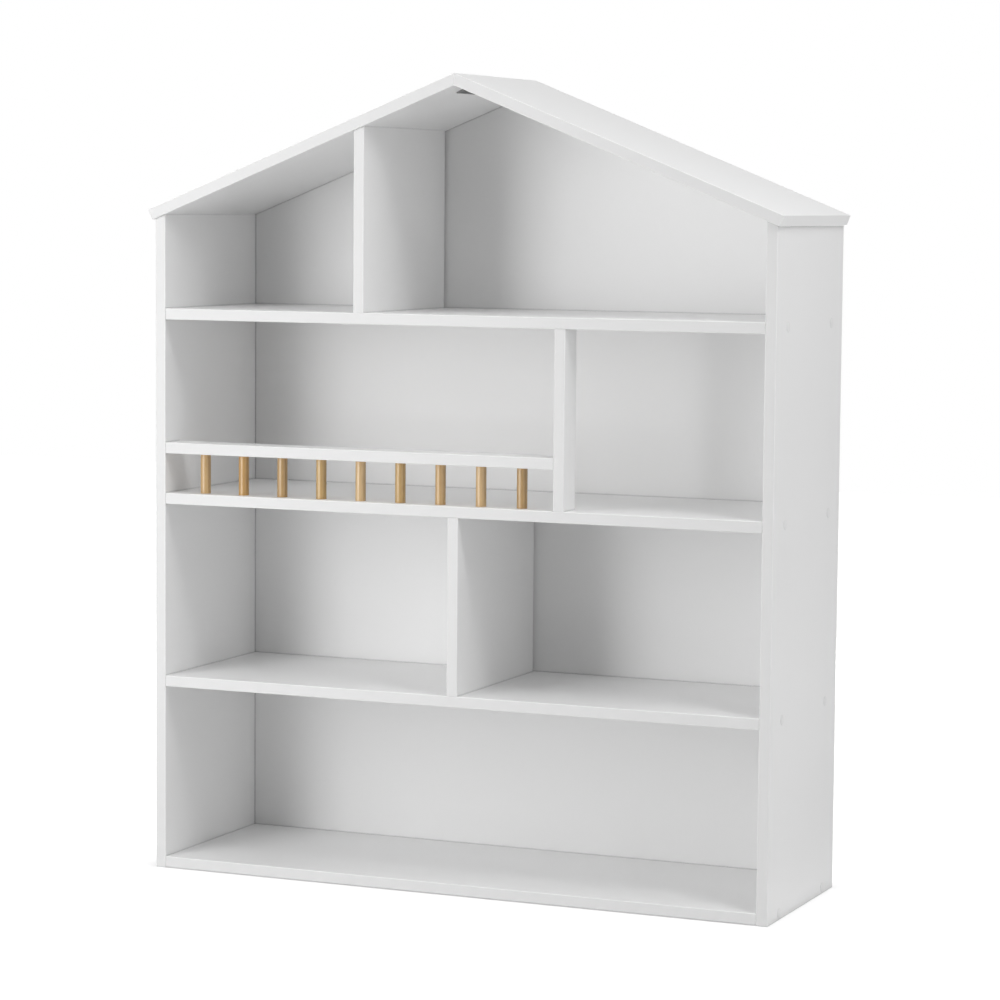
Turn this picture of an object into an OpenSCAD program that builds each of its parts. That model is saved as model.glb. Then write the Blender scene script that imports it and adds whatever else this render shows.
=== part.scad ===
// House-shaped bookcase in painted board: two side panels, four shelf boards and
// a mitred pitched roof, with a balcony rail on round wooden spindles. Thin back
// panels slide in grooves. Millimetres: X runs across, Y runs to the back, Z is
// up. The floor is z = 0 and the origin is the middle of the overall footprint.

/* [Case] */
// Width over the outer faces of the two side panels
case_w = 886; // [780:1:1100]
// Depth of the side panels and shelf boards
case_d = 274; // [220:1:400]
// Height of the side panels' outer faces above the top shelf
attic_wall_h = 121; // [70:1:400]
// Thickness of every painted board
board_t = 15; // [12:0.5:20]
// Clear height of each of the three tiers below the attic
tier_clear = 236; // [190:1:400]
// Height of the bottom board above the floor
floor_gap = 1; // [0.5:0.5:40]
// Easing radius along the edges of the boards
edge_r = 1; // [0.4:0.1:2.5]

/* [Roof] */
// Slope of each roof panel in degrees
roof_pitch = 21.7; // [14:0.1:38]
// Reach of the roof's underside past each side panel
eave_overhang = 3.5; // [1:0.1:40]
// Reach of the roof in front of the side panels
roof_front_overhang = 4; // [1:0.5:40]

/* [Dividers] */
// Width of the attic's left bay
attic_left_w = 282.5; // [180:0.5:380]
// Width of the left bay in the tier above the bottom one
lower_left_w = 421.5; // [250:0.5:560]
// Gap between a divider's rear edge and the back panel
divider_back_gap = 5; // [0.5:0.5:15]

/* [Balcony] */
// Width of the open bay to the right of the balcony post
right_bay_w = 270.5; // [150:0.5:400]
// Depth of the balcony rail and of its post
strip_d = 40; // [28:1:44]
// Clear height between the balcony floor and the rail
spindle_clear = 54; // [46:1:120]
// Diameter of the spindles
spindle_d = 14; // [8:0.5:20]
// Number of spindles
spindle_count = 9; // [3:1:12]
// Distance from each end of the rail to the nearest spindle's axis
spindle_end = 51.5; // [20:0.5:90]
// Depth of the blind sockets that hold the spindles
spindle_socket = 8; // [4:0.5:9]

/* [Back] */
// Thickness of the back panels
back_t = 3; // [2:0.5:5]
// Distance from the rear edges of the boards to the back panels
back_inset = 6.5; // [4:0.5:20]
// Depth of the grooves that hold the back panels
groove_depth = 5; // [3:0.5:5.5]
// Gap in front of a back panel, which lies against the rear wall of its groove
groove_gap = 0.8; // [0.2:0.1:1.5]
// Clearance between the edge of a back panel and the groove's floor
groove_float = 1; // [0.5:0.1:2]

/* [Connecting screws] */
// Distance of the fixings from the front and rear edges of the boards
fixing_edge = 47; // [46:1:85]
// Length of a connecting screw
screw_l = 50; // [40:1:56]
// Diameter of a connecting screw over its thread
screw_d = 7; // [5:0.5:8]
// Diameter of a connecting screw's flush head
head_d = 10; // [9:0.5:11]
// Width across the flats of the socket in the head
socket_af = 4; // [3:0.5:5]
// Diameter of the cover cap over each screw head
cap_d = 12; // [11.5:0.1:14]
// Height of a cover cap at its middle
cap_h = 1.2; // [0.8:0.1:2.5]
// Clearance around each spindle, dowel and screw in its hole
fit_gap = 0.1; // [0.05:0.01:0.3]

/* [Dowels] */
// Diameter of the wooden locating dowels
dowel_d = 8; // [5:0.5:9]
// Length of the wooden locating dowels
dowel_l = 30; // [20:1:40]
// Length of each dowel that is seated in the board it meets end on
dowel_seat = 9; // [6:0.5:9]

/* [Ridge brackets] */
// Length of each wing of a ridge bracket, down the slope
wing_l = 18; // [16:0.5:60]
// Length of a ridge bracket along the ridge
bracket_l = 60; // [40:1:70]
// Thickness of a ridge bracket
bracket_t = 2; // [1:0.25:4]
// Distance of the ridge brackets from the front and rear edges of the side panels
bracket_edge = 42; // [30:1:60]
// Diameter of the small screws in the ridge brackets
small_screw_d = 3.5; // [2.5:0.5:4.5]
// Length of the small screws under their heads
small_screw_l = 12; // [8:0.5:12]

/* [Hidden] */
$fn = 48;
SPINDLES = [for (i = [1:spindle_count]) str("spindle_", i)];

PAINT = [0.93, 0.93, 0.92];
BACK_PAINT = [0.90, 0.90, 0.90];
SPINDLE_WOOD = [0.80, 0.62, 0.40];
DOWEL_WOOD = [0.85, 0.73, 0.55];
BRACKET_STEEL = [0.25, 0.25, 0.27];
ZINC = [0.72, 0.73, 0.75];
CAP_PLASTIC = [0.95, 0.95, 0.95];

LEFT = -1;
RIGHT = 1;
over = 1;                                   // how far a cutting shape runs past a face
end_gap = 0.5;                              // space beyond the end of a screw or dowel

overall_d = case_d + roof_front_overhang;
roof_front_y = -overall_d / 2;
front_y = roof_front_y + roof_front_overhang;
back_y = front_y + case_d;
half_w = case_w / 2;
inner_x = half_w - board_t;                 // inner face of the right side panel
inner_w = 2 * inner_x;
fixing_rows = [front_y + fixing_edge, back_y - fixing_edge];

tier_step = tier_clear + board_t;
bottom_board_z = floor_gap + board_t;       // top faces of the four boards
lower_shelf_z = bottom_board_z + tier_step;
middle_shelf_z = lower_shelf_z + tier_step;
top_shelf_z = middle_shelf_z + tier_step;
board_heights = [bottom_board_z, lower_shelf_z, middle_shelf_z, top_shelf_z];
rail_z = middle_shelf_z + spindle_clear;    // underside of the balcony rail

roof_rise = tan(roof_pitch);
board_rise = board_t / cos(roof_pitch);     // roof thickness measured straight up
under_ridge = top_shelf_z + attic_wall_h + half_w * roof_rise;
slope_l = (half_w + eave_overhang) / cos(roof_pitch);
mitre_ease = 0.6 * edge_r;                  // chamfer on the front edge of the mitre
bracket_rows = [front_y + bracket_edge, back_y - bracket_edge - bracket_l];

post_x = inner_x - right_bay_w - board_t / 2;
attic_divider_x = -inner_x + attic_left_w + board_t / 2;
lower_divider_x = -inner_x + lower_left_w + board_t / 2;
strip_y = front_y + strip_d / 2;            // middle of the rail and of the post
rail_l = post_x - board_t / 2 + inner_x;
spindle_pitch = (rail_l - 2 * spindle_end) / (spindle_count - 1);

back_panel_y = back_y - back_inset - back_t;
divider_d = back_panel_y - divider_back_gap - front_y;
panel_x = inner_x + groove_depth - groove_float;

head_rim = 1;                               // straight edge of a flush screw head
head_cone = 3;                              // tapered part under it
neck_l = 10;                                // plain shank between head and thread
neck_clear = 0.3;                           // how far the shank is inside the thread
tip_l = 4;                                  // pointed end of a screw
socket_l = 2.5;                             // depth of the socket in a head
stem_l = 2;                                 // length of a cap's stem in that socket
stem_gap = 0.1;                             // clearance around the stem
cap_rim = 0.5;                              // height of a cap at its edge
small_head_d = 7;                           // head of a ridge bracket's screw
small_head_h = 2;
small_tip_l = 3;
wing_hole_edge = 9;                         // screws in from the end of a wing
row_hole_edge = 14;                         // screws in from the ends of a bracket

// Height of the roof's underside at a distance x from the middle
function roof_under(x) = under_ridge - abs(x) * roof_rise;
function spindle_x(i) = -inner_x + spindle_end + i * spindle_pitch;

// ---------- shapes shared by several pieces ----------

// Rectangle from the origin with its corners rounded
module eased_rect(w, h, r) {
  translate([r, 0]) square([w - 2 * r, h]);
  translate([0, r]) square([w, h - 2 * r]);
  for (x = [r, w - r], y = [r, h - r]) translate([x, y]) circle(r);
}

// Board lying flat from the origin, with its four edges along X eased, and the
// short upright edges at its corners too
module flat_board(l, d, t) {
  intersection() {
    rotate([90, 0, 90]) linear_extrude(l) eased_rect(d, t, edge_r);
    linear_extrude(t) eased_rect(l, d, edge_r);
  }
}

// Board standing on its end from the origin, with its upright edges eased
module upright_board(w, d, h) {
  linear_extrude(h) eased_rect(w, d, edge_r);
}

// Everything above the roof's underside
module above_roof_line() {
  reach = case_w;
  translate([0, back_y + over, 0])
    rotate([90, 0, 0])
      linear_extrude(overall_d + 2 * over)
        polygon([
          [-reach, roof_under(reach)],
          [0, under_ridge],
          [reach, roof_under(reach)],
          [reach, under_ridge + board_t + reach],
          [-reach, under_ridge + board_t + reach]
        ]);
}

// A flat outline in X and Z, drawn as thick as a back panel plus a gap in front
module at_back_panel(gap) {
  translate([0, back_panel_y + back_t, 0])
    rotate([90, 0, 0])
      linear_extrude(back_t + gap)
        children();
}

// Repeats its child at every fixing in one side panel's outer face, Z inwards
module at_side_fixings(side) {
  for (z = board_heights, y = fixing_rows)
    translate([side * half_w, y, z - board_t / 2])
      rotate([0, -90 * side, 0])
        children();
}

// Repeats its child at the fixings under the lower divider, Z up
module at_lower_divider_fixings() {
  for (y = fixing_rows)
    translate([lower_divider_x, y, lower_shelf_z - board_t]) children();
}

module at_attic_divider_fixings() {
  for (y = fixing_rows)
    translate([attic_divider_x, y, top_shelf_z - board_t]) children();
}

module at_post_fixing() {
  translate([post_x, strip_y, middle_shelf_z - board_t]) children();
}

module connecting_screw() {
  thread_start = head_rim + head_cone + neck_l;
  difference() {
    rotate_extrude()
      polygon([
        [0, 0],
        [head_d / 2, 0],
        [head_d / 2, head_rim],
        [screw_d / 2 - neck_clear, head_rim + head_cone],
        [screw_d / 2 - neck_clear, thread_start],
        [screw_d / 2, thread_start],
        [screw_d / 2, screw_l - tip_l],
        [screw_d / 4, screw_l],
        [0, screw_l]
      ]);
    translate([0, 0, -over])
      cylinder(h = socket_l + over, d = socket_af / cos(30), $fn = 6);
  }
}

module screw_hole() {
  translate([0, 0, -over])
    cylinder(h = head_rim + over, d = head_d + 2 * fit_gap);
  translate([0, 0, head_rim])
    cylinder(h = head_cone, d1 = head_d + 2 * fit_gap, d2 = screw_d + 2 * fit_gap);
  cylinder(h = screw_l + end_gap, d = screw_d + 2 * fit_gap);
}

// Low domed cap whose stem presses into the socket of the screw below it
module cover_cap() {
  rise = cap_h - cap_rim;
  dome_r = (pow(cap_d / 2, 2) + pow(rise, 2)) / (2 * rise);
  rotate([180, 0, 0])
    intersection() {
      cylinder(h = cap_h, d = cap_d);
      translate([0, 0, cap_h - dome_r]) sphere(dome_r, $fn = 96);
    }
  cylinder(h = stem_l, d = (socket_af - 2 * stem_gap) / cos(30), $fn = 6);
}

// Dowel standing on Z, with the given length above the origin
module dowel(upper) {
  translate([0, 0, upper - dowel_l]) cylinder(h = dowel_l, d = dowel_d);
}

module dowel_hole(upper) {
  translate([0, 0, upper - dowel_l - end_gap])
    cylinder(h = dowel_l + 2 * end_gap, d = dowel_d + 2 * fit_gap);
}

// Repeats its child at the dowels between the side panels and the roof
module at_eave_dowels(side) {
  x = half_w - board_t / 2;
  for (y = fixing_rows)
    translate([side * x, y, roof_under(x)]) children();
}

module at_attic_divider_dowels() {
  for (y = fixing_rows)
    translate([attic_divider_x, y, roof_under(attic_divider_x)]) children();
}

module at_lower_divider_dowels() {
  for (y = fixing_rows)
    translate([lower_divider_x, y, middle_shelf_z - board_t]) children();
}

module at_post_dowel() {
  translate([post_x, strip_y, top_shelf_z - board_t]) children();
}

// Repeats its child at the rail's end, Z into the side panel
module at_left_rail_dowel() {
  translate([-inner_x, strip_y, rail_z + board_t / 2])
    rotate([0, -90, 0])
      children();
}

// Repeats its child at the rail's end, Z into the post
module at_right_rail_dowel() {
  translate([post_x - board_t / 2, strip_y, rail_z + board_t / 2])
    rotate([0, 90, 0])
      children();
}

module at_spindle(i) {
  translate([spindle_x(i), strip_y, middle_shelf_z - spindle_socket]) children();
}

module spindle_socket_holes() {
  for (i = [0:spindle_count - 1])
    at_spindle(i)
      cylinder(h = spindle_clear + 2 * spindle_socket, d = spindle_d + 2 * fit_gap);
}

// ---------- case ----------

// Side panel without the joints that only one side has, drawn on the left
module side_panel_blank() {
  difference() {
    translate([-half_w, front_y, 0])
      upright_board(board_t, case_d, under_ridge);
    above_roof_line();
    at_side_fixings(LEFT) screw_hole();
    at_eave_dowels(LEFT) dowel_hole(dowel_seat);
    translate([-inner_x - groove_depth, back_panel_y - groove_gap, -over])
      cube([groove_depth + over, back_t + groove_gap, under_ridge]);
  }
}

module left_side_panel() {
  color(PAINT)
    difference() {
      side_panel_blank();
      at_left_rail_dowel() dowel_hole(dowel_seat);
    }
}

module right_side_panel() {
  color(PAINT) mirror([1, 0, 0]) side_panel_blank();
}

// Shelf board with its top face at z = top, with grooves for the back panels
// above and below it
module shelf_board(top, groove_below = true) {
  difference() {
    translate([-inner_x, front_y, top - board_t])
      flat_board(inner_w, case_d, board_t);
    at_side_fixings(LEFT) screw_hole();
    at_side_fixings(RIGHT) screw_hole();
    at_back_panel(groove_gap)
      translate([-inner_x - over, top - groove_depth])
        square([inner_w + 2 * over, groove_depth + over]);
    if (groove_below)
      at_back_panel(groove_gap)
        translate([-inner_x - over, top - board_t - over])
          square([inner_w + 2 * over, groove_depth + over]);
  }
}

module bottom_board() {
  color(PAINT) shelf_board(bottom_board_z, groove_below = false);
}

module lower_shelf() {
  color(PAINT)
    difference() {
      shelf_board(lower_shelf_z);
      at_lower_divider_fixings() screw_hole();
    }
}

module middle_shelf() {
  color(PAINT)
    difference() {
      shelf_board(middle_shelf_z);
      at_post_fixing() screw_hole();
      at_lower_divider_dowels() dowel_hole(dowel_seat);
      spindle_socket_holes();
    }
}

module top_shelf() {
  color(PAINT)
    difference() {
      shelf_board(top_shelf_z);
      at_attic_divider_fixings() screw_hole();
      at_post_dowel() dowel_hole(dowel_seat);
    }
}

module lower_divider() {
  color(PAINT)
    difference() {
      translate([lower_divider_x - board_t / 2, front_y, lower_shelf_z])
        upright_board(board_t, divider_d, tier_clear);
      at_lower_divider_fixings() screw_hole();
      at_lower_divider_dowels() dowel_hole(dowel_seat);
    }
}

module attic_divider() {
  color(PAINT)
    difference() {
      translate([attic_divider_x - board_t / 2, front_y, top_shelf_z])
        upright_board(board_t, divider_d, under_ridge - top_shelf_z);
      above_roof_line();
      at_attic_divider_fixings() screw_hole();
      at_attic_divider_dowels() dowel_hole(dowel_seat);
    }
}

// ---------- roof ----------

// Groove in the roof's underside for the attic's back panel
module roof_groove() {
  x = inner_x + groove_depth;
  rise = groove_depth / cos(roof_pitch);
  at_back_panel(groove_gap)
    polygon([
      [-x, roof_under(x) - over],
      [0, under_ridge - over],
      [x, roof_under(x) - over],
      [x, roof_under(x) + rise],
      [0, under_ridge + rise],
      [-x, roof_under(x) + rise]
    ]);
}

// One roof panel, square at the eave and mitred on the plane x = 0
module roof_panel(side) {
  spare = board_t * roof_rise + edge_r + over;  // length that the mitre cuts off
  blank_l = slope_l + spare;
  difference() {
    mirror([side < 0 ? 1 : 0, 0, 0])
      difference() {
        translate([0, roof_front_y, under_ridge])
          rotate([0, roof_pitch, 0])
            translate([-spare, 0, 0])
              intersection() {
                rotate([90, 0, 90])
                  linear_extrude(blank_l) eased_rect(overall_d, board_t, edge_r);
                translate([0, overall_d, 0])
                  rotate([90, 0, 0])
                    linear_extrude(overall_d) eased_rect(blank_l, board_t, edge_r);
              }
        translate([-half_w, roof_front_y - over, 0])
          cube([half_w, overall_d + 2 * over, under_ridge + board_rise + over]);
        // small chamfer on the front edge of the mitre
        translate([0, roof_front_y, under_ridge - over])
          linear_extrude(board_rise + 2 * over)
            polygon([
              [-over, -over],
              [mitre_ease + over, -over],
              [-over, mitre_ease + over]
            ]);
      }
    roof_groove();
    at_eave_dowels(side) dowel_hole(dowel_seat);
    bracket_screw_holes();
  }
}

module left_roof_panel() {
  color(PAINT)
    difference() {
      roof_panel(LEFT);
      at_attic_divider_dowels() dowel_hole(dowel_seat);
    }
}

module right_roof_panel() {
  color(PAINT) roof_panel(RIGHT);
}

// Repeats its child at the screws of the bracket that starts at row y, Z upwards
// and square to the wing
module at_bracket_screws(y) {
  for (side = [LEFT, RIGHT], row = [row_hole_edge, bracket_l - row_hole_edge])
    translate([0, y + row, under_ridge])
      rotate([0, side * roof_pitch, 0])
        translate([side * (wing_l - wing_hole_edge), 0, -bracket_t])
          children();
}

module bracket_screw_holes() {
  for (y = bracket_rows)
    at_bracket_screws(y)
      translate([0, 0, -over])
        cylinder(h = small_screw_l + end_gap + over, d = small_screw_d + 2 * fit_gap);
}

// Bent plate under the ridge
module ridge_bracket(y) {
  wing_x = wing_l * cos(roof_pitch);
  wing_z = under_ridge - wing_l * sin(roof_pitch);
  face_x = wing_x - bracket_t * sin(roof_pitch);
  face_z = wing_z - bracket_t * cos(roof_pitch);
  color(BRACKET_STEEL)
    difference() {
      translate([0, y + bracket_l, 0])
        rotate([90, 0, 0])
          linear_extrude(bracket_l)
            polygon([
              [-wing_x, wing_z],
              [0, under_ridge],
              [wing_x, wing_z],
              [face_x, face_z],
              [0, under_ridge - bracket_t / cos(roof_pitch)],
              [-face_x, face_z]
            ]);
      bracket_screw_holes();
    }
}

module front_ridge_bracket() {
  ridge_bracket(bracket_rows[0]);
}

module rear_ridge_bracket() {
  ridge_bracket(bracket_rows[1]);
}

module small_screw() {
  dome_r = (pow(small_head_d / 2, 2) + pow(small_head_h, 2)) / (2 * small_head_h);
  rotate([180, 0, 0])
    intersection() {
      cylinder(h = small_head_h, d = small_head_d);
      translate([0, 0, small_head_h - dome_r]) sphere(dome_r);
    }
  cylinder(h = small_screw_l - small_tip_l, d = small_screw_d);
  translate([0, 0, small_screw_l - small_tip_l])
    cylinder(h = small_tip_l, d1 = small_screw_d, d2 = small_screw_d / 2);
}

module ridge_bracket_screws() {
  color(BRACKET_STEEL)
    for (y = bracket_rows)
      at_bracket_screws(y) small_screw();
}

// ---------- balcony ----------

module balcony_post() {
  color(PAINT)
    difference() {
      translate([post_x - board_t / 2, front_y, middle_shelf_z])
        upright_board(board_t, strip_d, tier_clear);
      at_post_fixing() screw_hole();
      at_post_dowel() dowel_hole(dowel_seat);
      at_right_rail_dowel() dowel_hole(dowel_seat);
    }
}

module balcony_rail() {
  color(PAINT)
    difference() {
      translate([-inner_x, front_y, rail_z])
        flat_board(rail_l, strip_d, board_t);
      spindle_socket_holes();
      at_left_rail_dowel() dowel_hole(dowel_seat);
      at_right_rail_dowel() dowel_hole(dowel_seat);
    }
}

module spindle(i) {
  color(SPINDLE_WOOD)
    at_spindle(i)
      translate([0, 0, end_gap])
        cylinder(h = spindle_clear + 2 * (spindle_socket - end_gap), d = spindle_d);
}

// ---------- back ----------

// Back panel behind the tier whose floor is at z = bottom
module tier_back_panel(bottom) {
  lip = groove_depth - groove_float;
  color(BACK_PAINT)
    at_back_panel(0)
      translate([-panel_x, bottom - lip])
        square([2 * panel_x, tier_clear + 2 * lip]);
}

module bottom_back_panel() {
  tier_back_panel(bottom_board_z);
}

module lower_back_panel() {
  tier_back_panel(lower_shelf_z);
}

module balcony_back_panel() {
  tier_back_panel(middle_shelf_z);
}

module attic_back_panel() {
  lip = groove_depth - groove_float;
  lip_rise = lip / cos(roof_pitch);
  foot = top_shelf_z - lip;
  shoulder = roof_under(panel_x) + lip_rise;
  color(BACK_PAINT)
    at_back_panel(0)
      polygon([
        [-panel_x, foot],
        [panel_x, foot],
        [panel_x, shoulder],
        [0, under_ridge + lip_rise],
        [-panel_x, shoulder]
      ]);
}

// ---------- fasteners ----------

module left_side_screws() {
  color(ZINC) at_side_fixings(LEFT) connecting_screw();
}

module right_side_screws() {
  color(ZINC) at_side_fixings(RIGHT) connecting_screw();
}

module at_divider_fixings() {
  at_lower_divider_fixings() children();
  at_attic_divider_fixings() children();
  at_post_fixing() children();
}

module divider_screws() {
  color(ZINC) at_divider_fixings() connecting_screw();
}

module left_side_caps() {
  color(CAP_PLASTIC) at_side_fixings(LEFT) cover_cap();
}

module right_side_caps() {
  color(CAP_PLASTIC) at_side_fixings(RIGHT) cover_cap();
}

module divider_caps() {
  color(CAP_PLASTIC) at_divider_fixings() cover_cap();
}

module eave_dowels() {
  color(DOWEL_WOOD)
    for (side = [LEFT, RIGHT])
      at_eave_dowels(side) dowel(dowel_seat);
}

module divider_dowels() {
  color(DOWEL_WOOD) {
    at_attic_divider_dowels() dowel(dowel_seat);
    at_lower_divider_dowels() dowel(dowel_seat);
    at_post_dowel() dowel(dowel_seat);
  }
}

module rail_dowels() {
  color(DOWEL_WOOD) {
    at_left_rail_dowel() dowel(dowel_seat);
    at_right_rail_dowel() dowel(dowel_seat);
  }
}

left_side_panel();
right_side_panel();
left_roof_panel();
right_roof_panel();
bottom_board();
lower_shelf();
middle_shelf();
top_shelf();
lower_divider();
attic_divider();
balcony_post();
balcony_rail();
for (i = [0:spindle_count - 1])
  spindle(i);
bottom_back_panel();
lower_back_panel();
balcony_back_panel();
attic_back_panel();
front_ridge_bracket();
rear_ridge_bracket();
ridge_bracket_screws();
left_side_screws();
right_side_screws();
divider_screws();
left_side_caps();
right_side_caps();
divider_caps();
eave_dowels();
divider_dowels();
rail_dowels();
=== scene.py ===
import math

import bpy
from mathutils import Matrix, Vector


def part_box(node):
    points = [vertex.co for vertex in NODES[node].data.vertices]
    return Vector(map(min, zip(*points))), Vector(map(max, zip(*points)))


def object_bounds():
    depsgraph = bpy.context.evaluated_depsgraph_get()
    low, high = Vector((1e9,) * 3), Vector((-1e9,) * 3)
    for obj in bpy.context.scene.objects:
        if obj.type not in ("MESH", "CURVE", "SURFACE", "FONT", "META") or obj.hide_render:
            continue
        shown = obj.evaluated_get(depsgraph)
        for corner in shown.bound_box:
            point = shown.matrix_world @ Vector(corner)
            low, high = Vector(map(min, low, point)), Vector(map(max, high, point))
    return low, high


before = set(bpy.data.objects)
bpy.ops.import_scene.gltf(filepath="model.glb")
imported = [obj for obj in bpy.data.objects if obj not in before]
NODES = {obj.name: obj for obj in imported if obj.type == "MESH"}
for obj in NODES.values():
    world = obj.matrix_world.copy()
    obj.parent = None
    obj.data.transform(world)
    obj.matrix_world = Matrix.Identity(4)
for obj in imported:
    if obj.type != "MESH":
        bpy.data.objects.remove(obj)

cad_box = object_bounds()
CASE_TOP = cad_box[1][2]            # all lengths are in metres

# ---------- camera, fitted to the photograph ----------

SENSOR = 36.0                       # mm
FRAME_PX = 1000
FOCAL_PX = 3286.2                   # focal length in pixels of that frame
CAMERA_AT = Vector((1.7516, -4.0522, 0.9160))
CAMERA_TURN = math.radians(23.255)  # to the left of straight ahead
CAMERA_TILT = math.radians(5.177)   # below the horizon
CAMERA_ROLL = math.radians(0.478)
CLIP_NEAR = 0.1
CLIP_FAR = 50.0


def make_camera():
    data = bpy.data.cameras.new("camera")
    data.sensor_width = SENSOR
    data.lens = FOCAL_PX * SENSOR / FRAME_PX
    data.clip_start = CLIP_NEAR
    data.clip_end = CLIP_FAR
    camera = bpy.data.objects.new("camera", data)
    bpy.context.scene.collection.objects.link(camera)
    turn = Matrix.Rotation(CAMERA_TURN, 4, "Z")
    tilt = Matrix.Rotation(math.pi / 2 - CAMERA_TILT, 4, "X")
    roll = Matrix.Rotation(CAMERA_ROLL, 4, "Z")
    camera.matrix_world = Matrix.Translation(CAMERA_AT) @ turn @ tilt @ roll
    bpy.context.scene.camera = camera


# ---------- node trees ----------

RAYS = 4                            # samples of each Bevel and Ambient Occlusion node
FLAT_FACE = 0.995                   # how well the rounded and the true normal agree on a flat face
SHARP_EDGE = 0.8                    # and on an edge
OPEN_FACE = 0.9                     # share of the sky that an open face sees within a joint's reach
DEEP_JOINT = 0.2                    # and the share that is left deep in a joint
MOST_NOISE = (0.3, 0.7)             # where most values of a noise lie


def grey(value):
    return (value, value, value, 1.0)


class Nodes:
    """A node tree that is built one call at a time."""

    def __init__(self, tree, output_kind):
        self.tree = tree
        self.tree.nodes.clear()
        self.output = self.add(output_kind, {})

    def add(self, kind, inputs, **settings):
        node = self.tree.nodes.new(kind)
        for key, value in settings.items():
            setattr(node, key, value)
        for socket, value in inputs.items():
            self.feed(node.inputs[socket], value)
        return node

    def feed(self, socket, value):
        if isinstance(value, bpy.types.NodeSocket):
            self.tree.links.new(value, socket)
        else:
            socket.default_value = value

    def math(self, operation, first, second=0.0):
        return self.add("ShaderNodeMath", {0: first, 1: second}, operation=operation).outputs[0]

    def looked_at(self):
        """1 where the camera, a mirror or glass looks at the surface, 0 for the light it gives."""
        path = self.add("ShaderNodeLightPath", {}).outputs
        seen = self.math("MAXIMUM", path["Is Camera Ray"], path["Is Glossy Ray"])
        return self.math("MAXIMUM", seen, path["Is Transmission Ray"])

    def show(self, node):
        self.tree.links.new(node.outputs[0], self.output.inputs["Surface"])


class Shader(Nodes):
    """A material, with the patterns that its surface is made of."""

    def __init__(self, name):
        self.material = bpy.data.materials.new(name)
        self.material.use_nodes = True
        super().__init__(self.material.node_tree, "ShaderNodeOutputMaterial")
        self.place = self.add("ShaderNodeTexCoord", {}).outputs["Object"]

    def noise(self, per_metre, stretch=(1.0, 1.0, 1.0), detail=2.0):
        """Noise from 0 to 1 with so many features per metre, drawn out where stretch is under 1."""
        place = self.add("ShaderNodeMapping", {"Vector": self.place, "Scale": stretch}).outputs[0]
        inputs = {"Vector": place, "Scale": per_metre, "Detail": detail}
        return self.add("ShaderNodeTexNoise", inputs).outputs["Fac"]

    def remap(self, value, span, to=(0.0, 1.0)):
        inputs = {"Value": value, "From Min": span[0], "From Max": span[1],
                  "To Min": to[0], "To Max": to[1]}
        return self.add("ShaderNodeMapRange", inputs).outputs[0]

    def mix(self, share, first, second, blend="MIX"):
        node = self.add("ShaderNodeMix", {"Factor": share}, data_type="RGBA", blend_type=blend)
        for name, value in (("A", first), ("B", second)):
            self.feed(next(i for i in node.inputs if i.name == name and i.type == "RGBA"), value)
        return next(o for o in node.outputs if o.type == "RGBA")

    def axis(self, vector, letter):
        return self.add("ShaderNodeSeparateXYZ", {"Vector": vector}).outputs[letter]

    def bump(self, height, depth, normal=None):
        """Normals of a relief that is depth metres deep, laid over the given normals if any."""
        inputs = {"Height": height, "Distance": depth, "Strength": 1.0}
        if normal is not None:
            inputs["Normal"] = normal
        return self.add("ShaderNodeBump", inputs).outputs[0]

    def facing(self):
        return self.add("ShaderNodeNewGeometry", {}).outputs["Normal"]

    def edges(self, width):
        """1 along the edges of a piece, 0 on its flat faces."""
        rounded = self.add("ShaderNodeBevel", {"Radius": width}, samples=RAYS).outputs[0]
        normals = {0: rounded, 1: self.facing()}
        agree = self.add("ShaderNodeVectorMath", normals, operation="DOT_PRODUCT").outputs["Value"]
        return self.remap(agree, (FLAT_FACE, SHARP_EDGE))

    def creases(self, reach):
        """1 deep in the joints between pieces, where shade falls, 0 on open faces."""
        sky = self.add("ShaderNodeAmbientOcclusion", {"Distance": reach}, samples=RAYS).outputs["AO"]
        return self.remap(sky, (DEEP_JOINT, OPEN_FACE), to=(1.0, 0.0))

    def steps(self, value, span, colours):
        """One colour after the other as the value crosses the span, with sharp changes."""
        node = self.add("ShaderNodeValToRGB", {"Fac": self.remap(value, span)})
        node.color_ramp.interpolation = "CONSTANT"
        stops = node.color_ramp.elements
        stops.remove(stops[1])
        stops[0].color = colours[0]
        for i, colour in enumerate(colours[1:], 1):
            stops.new(i / len(colours)).color = colour
        return node.outputs["Color"]

    def finish(self, **inputs):
        sockets = {key.replace("_", " "): value for key, value in inputs.items()}
        self.show(self.add("ShaderNodeBsdfPrincipled", sockets))
        return self.material


# ---------- paint, wood, steel and plastic ----------

PAINT = 0.90
BACK_PAINT = 0.86
CUT_SHADE_AT_FLOOR = 0.76                    # tone of the painted shade on the boards' cut edges at the floor
CUT_SHADE_AT_RIDGE = 0.67                    # and at the ridge
UNEVEN = 0.015                      # how far a coat drifts to either side of its tone
SPECK = 1.01                        # brighter specks in a coat
EDGE_HIGHLIGHT = 1.03                         # painted highlight along the board edges, as a share of the coat's tone
WHITEST = 0.92
EDGE_HIGHLIGHT_WIDTH = 0.0016
# share of the edge mask that shows: the painted highlight on the boards and the wear on the steel
WEAR_AND_HIGHLIGHT_SHARE = 0.5
JOINT_SHADE_TONE = 0.3                    # painted shade deep in a joint, as a share of the coat's tone
JOINT_SHADE = 0.75                  # how much of it shows there
JOINT_REACH = 0.0025
CUT_FACES = (0.9, 0.98)             # how squarely a face looks to the front or the rear

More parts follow.
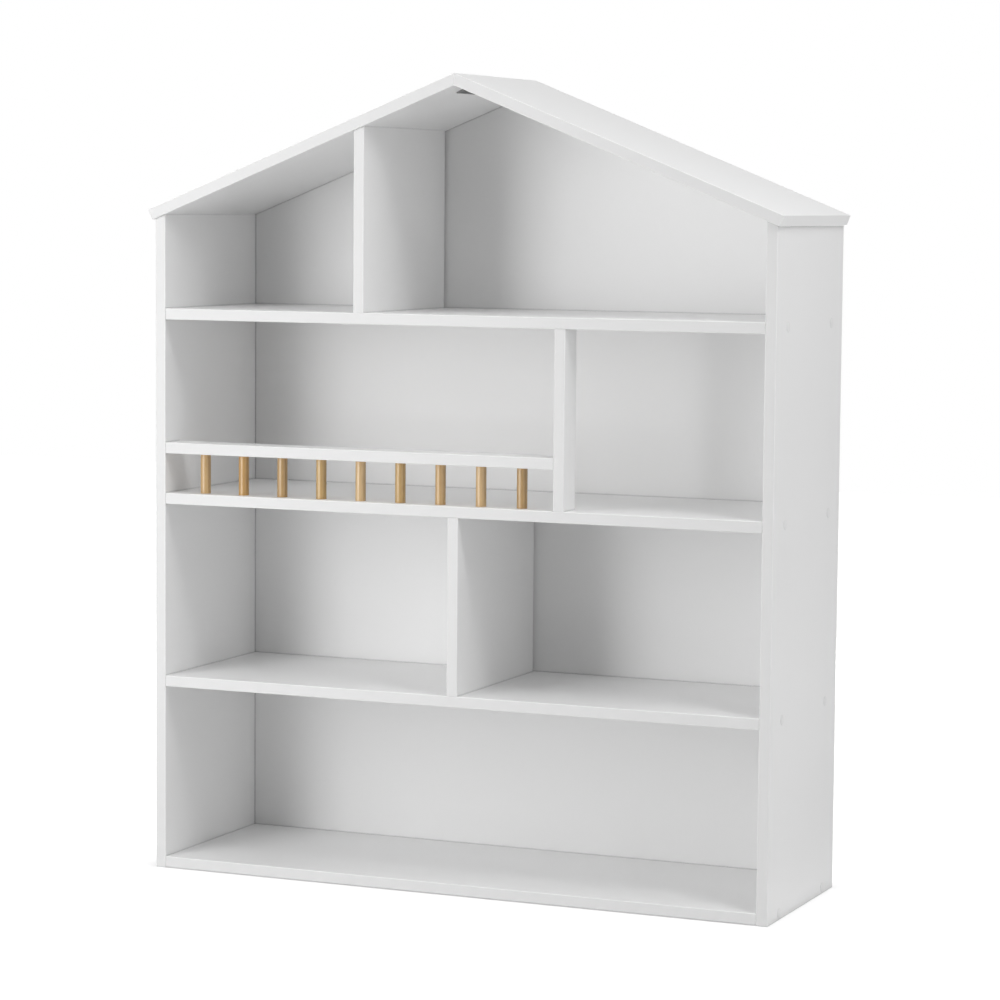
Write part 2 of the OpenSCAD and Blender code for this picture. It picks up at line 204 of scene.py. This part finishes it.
PALE_WOOD = (0.61, 0.42, 0.20, 1.0)
STRAW_WOOD = (0.51, 0.33, 0.112, 1.0)
TAN_WOOD = (0.535, 0.345, 0.138, 1.0)
AMBER_WOOD = (0.49, 0.28, 0.072, 1.0)
BROWN_WOOD = (0.44, 0.275, 0.097, 1.0)
SPINDLE_TONES = [TAN_WOOD, AMBER_WOOD, BROWN_WOOD, STRAW_WOOD, PALE_WOOD, STRAW_WOOD, TAN_WOOD,
                 PALE_WOOD, BROWN_WOOD]
BEECH = (0.66, 0.48, 0.29, 1.0)
LATE_WOOD = (0.80, 0.74, 0.66, 1.0)  # late wood and pores, as shares of a rod's own tone
PORE_WOOD = (0.5, 0.42, 0.34, 1.0)

STEEL_DARK = 0.14
STEEL_PALE = 0.20
STEEL_WORN = 0.32
STEEL_WORN_WIDTH = 0.0006
ZINC_DULL = (0.50, 0.51, 0.53, 1.0)
ZINC_BRIGHT = (0.66, 0.67, 0.69, 1.0)
CAP_DULL = 0.845
CAP_BRIGHT = 0.885


def painted_shade_faces(s):
    """1 on the faces that look to the front or the rear, where the boards are cut and get painted shade.
    """
    depthways = s.axis(s.facing(), "Y")
    return s.remap(s.math("ABSOLUTE", depthways), CUT_FACES)


def white_paint(name, base, cut, roughness, stipple_size, stipple_depth):
    """Sprayed satin paint: an uneven coat, fine stipple, a painted highlight along the edges and painted
    shade in the joints.
    The cut edges that look to the front or the rear get painted shade, greyer towards the ridge: cut is
    their tone at the floor and the ridge."""
    s = Shader(name)
    cloud = s.noise(per_metre=4.0, detail=3.0)
    speck = s.noise(per_metre=900.0)
    tone = s.mix(cloud, grey(base * (1 - UNEVEN)), grey(base * (1 + UNEVEN)))
    tone = s.mix(s.remap(speck, MOST_NOISE), tone, grey(base * SPECK))
    # Painted shade: the faces that look to the front or the rear turn greyer, more so towards the ridge.
    height = s.axis(s.place, "Z")
    cut_shade_tone = s.mix(s.remap(height, (0.0, CASE_TOP)), grey(cut[0]), grey(cut[1]))
    tone = s.mix(painted_shade_faces(s), tone, cut_shade_tone)
    # Painted highlight: the edges of the boards are drawn brighter.
    wear_and_highlight = s.math("MULTIPLY", s.edges(EDGE_HIGHLIGHT_WIDTH), WEAR_AND_HIGHLIGHT_SHARE)
    tone = s.mix(wear_and_highlight, tone, grey(min(base * EDGE_HIGHLIGHT, WHITEST)))
    # Painted shade: the joints and corners are drawn darker, from an occlusion mask.
    shade = s.math("MULTIPLY", s.creases(JOINT_REACH), JOINT_SHADE)
    tone = s.mix(shade, tone, grey(base * JOINT_SHADE_TONE))
    stipple = s.noise(per_metre=1.0 / stipple_size, detail=3.0)
    sanding = s.noise(per_metre=700.0, stretch=(0.03, 1.0, 1.0))
    rough = s.remap(s.math("ADD", stipple, cloud), (0.6, 1.4), to=roughness)
    normal = s.bump(stipple, depth=stipple_depth)
    normal = s.bump(sanding, depth=stipple_depth / 2, normal=normal)
    return s.finish(Base_Color=tone, Roughness=rough, Normal=normal, IOR=1.48)


def turned_wood(name, tones, first_x, pitch, roughness, coat):
    """Straight-grained rods in a row along X, each in its own tone, with rings and pores along Z."""
    s = Shader(name)
    start = first_x - pitch / 2
    own = s.steps(s.axis(s.place, "X"), (start, start + pitch * len(tones)), tones)
    rings = s.noise(per_metre=420.0, stretch=(1.0, 1.0, 0.035), detail=4.0)
    pores = s.noise(per_metre=2600.0, stretch=(1.0, 1.0, 0.03))
    figure = s.noise(per_metre=140.0, stretch=(1.0, 1.0, 0.35), detail=3.0)
    dark = s.mix(1.0, own, LATE_WOOD, "MULTIPLY")
    darkest = s.mix(1.0, own, PORE_WOOD, "MULTIPLY")
    colour = s.mix(s.remap(rings, (0.3, 0.72), to=(0.0, 0.9)), own, dark)
    colour = s.mix(s.remap(figure, (0.45, 0.7), to=(0.0, 0.5)), colour, dark)
    colour = s.mix(s.remap(pores, (0.56, 0.7), to=(0.0, 0.35)), colour, darkest)
    rough = s.remap(rings, MOST_NOISE, to=roughness)
    normal = s.bump(rings, depth=0.00006)
    normal = s.bump(pores, depth=0.00004, normal=normal)
    return s.finish(Base_Color=colour, Roughness=rough, Normal=normal, Coat_Weight=coat,
                    Coat_Roughness=0.25)


def coated_steel():
    """Grey powder-coated steel with a fine orange-peel surface, worn a little along its edges."""
    s = Shader("bracket_steel")
    peel = s.noise(per_metre=1800.0, detail=3.0)
    colour = s.mix(s.noise(per_metre=60.0), grey(STEEL_DARK), grey(STEEL_PALE))
    wear_and_highlight = s.math("MULTIPLY", s.edges(STEEL_WORN_WIDTH), WEAR_AND_HIGHLIGHT_SHARE)
    colour = s.mix(wear_and_highlight, colour, grey(STEEL_WORN))
    rough = s.remap(peel, MOST_NOISE, to=(0.38, 0.55))
    normal = s.bump(peel, depth=0.00005)
    return s.finish(Base_Color=colour, Roughness=rough, Metallic=0.35, Normal=normal)


def zinc_steel():
    """Bright zinc with faint turning marks."""
    s = Shader("zinc_steel")
    turned = s.noise(per_metre=2400.0, stretch=(1.0, 1.0, 0.3))
    colour = s.mix(s.noise(per_metre=250.0), ZINC_DULL, ZINC_BRIGHT)
    rough = s.remap(turned, MOST_NOISE, to=(0.22, 0.42))
    normal = s.bump(turned, depth=0.00003)
    return s.finish(Base_Color=colour, Roughness=rough, Metallic=1.0, Normal=normal)


def white_plastic():
    """Moulded cover caps with a fine spark-eroded grain."""
    s = Shader("cap_plastic")
    grain = s.noise(per_metre=5200.0, detail=1.0)
    colour = s.mix(s.noise(per_metre=200.0), grey(CAP_DULL), grey(CAP_BRIGHT))
    rough = s.remap(grain, MOST_NOISE, to=(0.42, 0.58))
    return s.finish(Base_Color=colour, Roughness=rough, Normal=s.bump(grain, depth=0.00003))


BOARDS = ["left_side_panel", "right_side_panel", "left_roof_panel", "right_roof_panel", "bottom_board",
          "lower_shelf", "middle_shelf", "top_shelf", "lower_divider", "attic_divider",
          "balcony_post", "balcony_rail"]
BACKS = ["bottom_back_panel", "lower_back_panel", "balcony_back_panel", "attic_back_panel"]
SPINDLES = [name for name in NODES if name.startswith("spindle_")]
BRACKETS = ["front_ridge_bracket", "rear_ridge_bracket", "ridge_bracket_screws"]
SCREWS = ["left_side_screws", "right_side_screws", "divider_screws"]
CAPS = ["left_side_caps", "right_side_caps", "divider_caps"]
DOWELS = ["eave_dowels", "divider_dowels", "rail_dowels"]


def assign(material, names):
    for name in names:
        if not NODES[name].material_slots:
            NODES[name].data.materials.append(material)
        for slot in NODES[name].material_slots:
            slot.material = material


def middle_x(name):
    low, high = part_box(name)
    return (low[0] + high[0]) / 2


def make_materials():
    boards = white_paint("painted_board", PAINT, cut=(CUT_SHADE_AT_FLOOR, CUT_SHADE_AT_RIDGE), roughness=(0.36, 0.5),
                         stipple_size=0.0022, stipple_depth=0.00003)
    backs = white_paint("painted_back", BACK_PAINT, cut=(BACK_PAINT, BACK_PAINT), roughness=(0.42, 0.56),
                        stipple_size=0.0012, stipple_depth=0.00002)
    first_x = middle_x("spindle_1")
    pitch = middle_x("spindle_2") - first_x
    spindles = turned_wood("spindle_wood", SPINDLE_TONES, first_x, pitch, roughness=(0.34, 0.5), coat=0.9)
    dowels = turned_wood("dowel_wood", [BEECH], first_x, pitch, roughness=(0.55, 0.7), coat=0.0)
    assign(boards, BOARDS)
    assign(backs, BACKS)
    assign(spindles, SPINDLES)
    assign(dowels, DOWELS)
    assign(coated_steel(), BRACKETS)
    assign(zinc_steel(), SCREWS)
    assign(white_plastic(), CAPS)


# ---------- studio ----------

FLOOR_HALF = 6.0
FLOOR_TONE = 0.85
NEAR = 0.06                         # how far from the case the floor's white rises quickly, out of the painted shadow
FAR = 1.6                           # and how far it goes on rising
WHITE_IN_PAINTED_SHADOW = 0.35                # white added to the floor where it is looked at, at the case: kept low as a painted shadow
WHITE_NEAR = 0.72
WHITE_FAR = 1.0
FILL = 0.151                        # light from all around

# Name, place, what the lamp is aimed at, width and height, watts. floor_card lies beside the right
# panel and faces up, as a bright floor would; roof_left and behind serve the far side and the rear.
LAMPS = [
    ("key_near", (-1.0, -1.4, 1.2), (0, 0, 1.2), (1.0, 2.2), 15.3),
    ("key_far", (-1.6, -3.2, 1.2), (0, 0, 1.2), (1.0, 2.2), 23.2),
    ("key_low", (-1.5, -4.0, 0.5), (0, 0, 0.6), (1.0, 1.0), 8.4),
    ("high_right", (1.6, -0.9, 2.2), (0, 0, 0.6), (0.4, 0.4), 7.5),
    ("high_front", (0.9, -2.2, 2.3), (0, 0, 0.6), (0.5, 0.5), 3.3),
    ("side_right", (1.8, -0.9, 1.1), (0, -0.36, 1.1), (1.0, 2.0), 4.5),
    ("side_rear", (1.8, 0, 1.1), (0, 0, 1.1), (1.0, 2.0), 2.9),
    ("top", (0, 0, 2.6), (0, 0, 0.6), (1.0, 1.0), 3.3),
    ("top_right", (1.2, -0.5, 2.4), (0.9, -0.2, 0), (0.8, 0.8), 9.6),
    ("floor_card", (0.482, 0, 0.002), (0.482, 0, 1.0), (0.06, 0.27), 0.009),
    ("roof_left", (-0.85, 0.25, 1.32), (-0.25, 0, 0.98), (0.5, 0.5), 1.2),
    ("behind", (0, 2.6, 0.5), (0, 0, 0.5), (0.8, 0.8), 24.0),
]


def away_from_case(s):
    """Distance on the floor from the rectangle that the case stands on."""
    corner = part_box("right_side_panel")[1]
    gaps = {}
    for letter, half in (("X", corner[0]), ("Y", corner[1])):
        gap = s.math("SUBTRACT", s.math("ABSOLUTE", s.axis(s.place, letter)), half)
        gaps[letter] = s.math("MAXIMUM", gap, 0.0)
    apart = s.add("ShaderNodeCombineXYZ", gaps).outputs[0]
    return s.add("ShaderNodeVectorMath", {0: apart}, operation="LENGTH").outputs["Value"]


def floor_white(s):
    """Strength of the white that is added where the floor is looked at, less at the case and under it as
    a painted shadow.
    """
    reach = away_from_case(s)
    # Painted shadow: the white is kept low at the case and under it.
    near = s.remap(reach, (0.0, NEAR), to=(WHITE_IN_PAINTED_SHADOW, WHITE_NEAR))
    far = s.remap(reach, (NEAR, FAR), to=(0.0, WHITE_FAR - WHITE_NEAR))
    return s.math("MULTIPLY", s.looked_at(), s.math("ADD", near, far))


def make_floor():
    mesh = bpy.data.meshes.new("floor")
    signs = [(-1, -1), (1, -1), (1, 1), (-1, 1)]
    mesh.from_pydata([(x * FLOOR_HALF, y * FLOOR_HALF, 0) for x, y in signs], [], [(0, 1, 2, 3)])
    floor = bpy.data.objects.new("floor", mesh)
    bpy.context.scene.collection.objects.link(floor)
    s = Shader("floor")
    lit = s.add("ShaderNodeBsdfDiffuse", {"Color": grey(FLOOR_TONE)})
    white = s.add("ShaderNodeEmission", {"Color": grey(1.0), "Strength": floor_white(s)})
    s.show(s.add("ShaderNodeAddShader", {0: lit.outputs[0], 1: white.outputs[0]}))
    mesh.materials.append(s.material)


def area_lamp(name, place, target, size, watts):
    """Rectangular lamp that the camera doesn't see."""
    data = bpy.data.lights.new(name, "AREA")
    data.shape = "RECTANGLE"
    data.size, data.size_y = size
    data.energy = watts
    lamp = bpy.data.objects.new(name, data)
    bpy.context.scene.collection.objects.link(lamp)
    lamp.location = place
    aim = Vector(target) - Vector(place)
    lamp.rotation_euler = aim.to_track_quat("-Z", "Y").to_euler()
    lamp.visible_camera = False


def make_world():
    """Weak light from all around, and plain white where it is looked at."""
    world = bpy.data.worlds.new("studio")
    bpy.context.scene.world = world
    world.use_nodes = True
    n = Nodes(world.node_tree, "ShaderNodeOutputWorld")
    fill = n.add("ShaderNodeBackground", {"Color": grey(1.0), "Strength": FILL})
    white = n.add("ShaderNodeBackground", {"Color": grey(1.0), "Strength": 1.0})
    n.show(n.add("ShaderNodeMixShader", {0: n.looked_at(), 1: fill.outputs[0], 2: white.outputs[0]}))


make_camera()
make_materials()
make_floor()
for lamp in LAMPS:
    area_lamp(*lamp)
make_world()
bpy.context.scene.view_settings.view_transform = "Standard"
